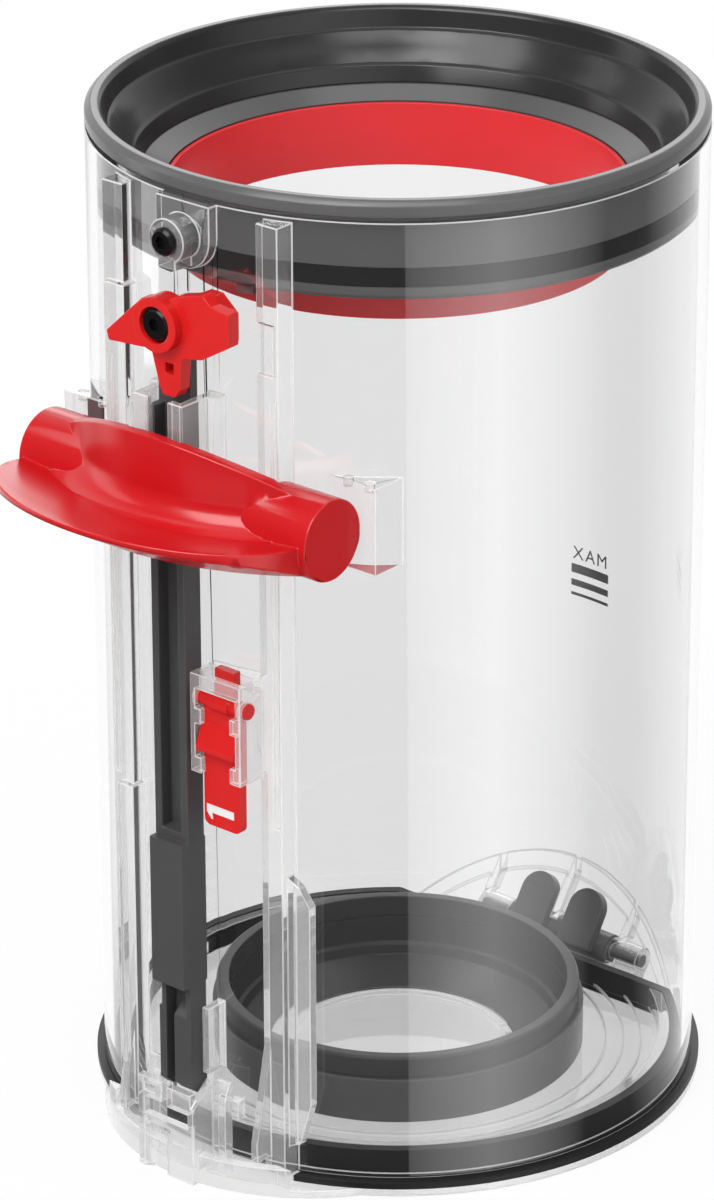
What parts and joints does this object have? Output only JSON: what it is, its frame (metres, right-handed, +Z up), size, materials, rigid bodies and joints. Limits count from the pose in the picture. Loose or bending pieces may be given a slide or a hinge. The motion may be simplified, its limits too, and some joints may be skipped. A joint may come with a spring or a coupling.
{
  "type": "cyclone dust bin",
  "caption": "Clear cylindrical vacuum dust bin with a hinged base door, sprung push handle and rod, rocker, removal catch, seal rings and a red wiper throat.",
  "frame": {"origin": "on the bin axis at the flat underside of the base door", "axes": "+Z up along the bin axis, -Y towards the spine with the push handle, +Y towards the door hinge"},
  "size_m": [0.12, 0.1485, 0.2],
  "materials": {
    "clear_plastic": "clear polished moulding",
    "dark_grey_plastic": "satin moulded",
    "grey_plastic": "satin moulded",
    "grey_gloss": "polished",
    "black_rubber": "matt",
    "grey_rubber": "matt",
    "red_plastic": "glossy moulded",
    "black_steel": "black oxide",
    "steel": "plain wire and pin"
  },
  "bodies": {
    "bin": {"clear_bin": "clear_plastic", "top_collar": "dark_grey_plastic", "collar_seal": "black_rubber", "clamp_ring": "dark_grey_plastic", "throat_gasket": "grey_gloss", "wiper_ring": "red_plastic", "collar_screw": "black_steel", "rocker_screw": "black_steel", "hinge_bracket": "grey_plastic", "hinge_pin": "steel", "rod_spring": "steel"},
    "door": {"base_plate": "clear_plastic", "base_seal": "black_rubber", "ring_carrier": "grey_plastic", "ring_seal": "grey_rubber"},
    "release": {"push_handle": "red_plastic", "push_rod": "grey_plastic"},
    "rocker": {"release_rocker": "red_plastic"},
    "catch": {"bin_catch": "red_plastic"}
  },
  "joints": [
    {"name": "door_hinge", "type": "hinge", "parent": "bin", "child": "door", "pos_m": [0, 0.0535, 0.0052], "axis": [1, 0, 0], "range_deg": [0, 95]},
    {"name": "handle_slide", "type": "slide", "parent": "bin", "child": "release", "axis": [0, 0, -1], "range_m": [0, 0.006], "stiffness_N_per_m": 400, "springref_m": -0.004, "deforming": ["rod_spring"]},
    {"name": "rocker_turn", "type": "hinge", "parent": "bin", "child": "rocker", "pos_m": [0, -0.065, 0.1744], "axis": [0, 1, 0], "range_deg": [0, 10]},
    {"name": "catch_turn", "type": "hinge", "parent": "bin", "child": "catch", "pos_m": [0.0105, -0.0626, 0.101], "axis": [1, 0, 0], "range_deg": [0, 7], "stiffness_Nm_per_rad": 0.05, "springref_deg": -5.73}
  ],
  "couplings": [
    {"joint": "rocker_turn", "follows": "handle_slide", "rad_per_m": 29.086}
  ]
}
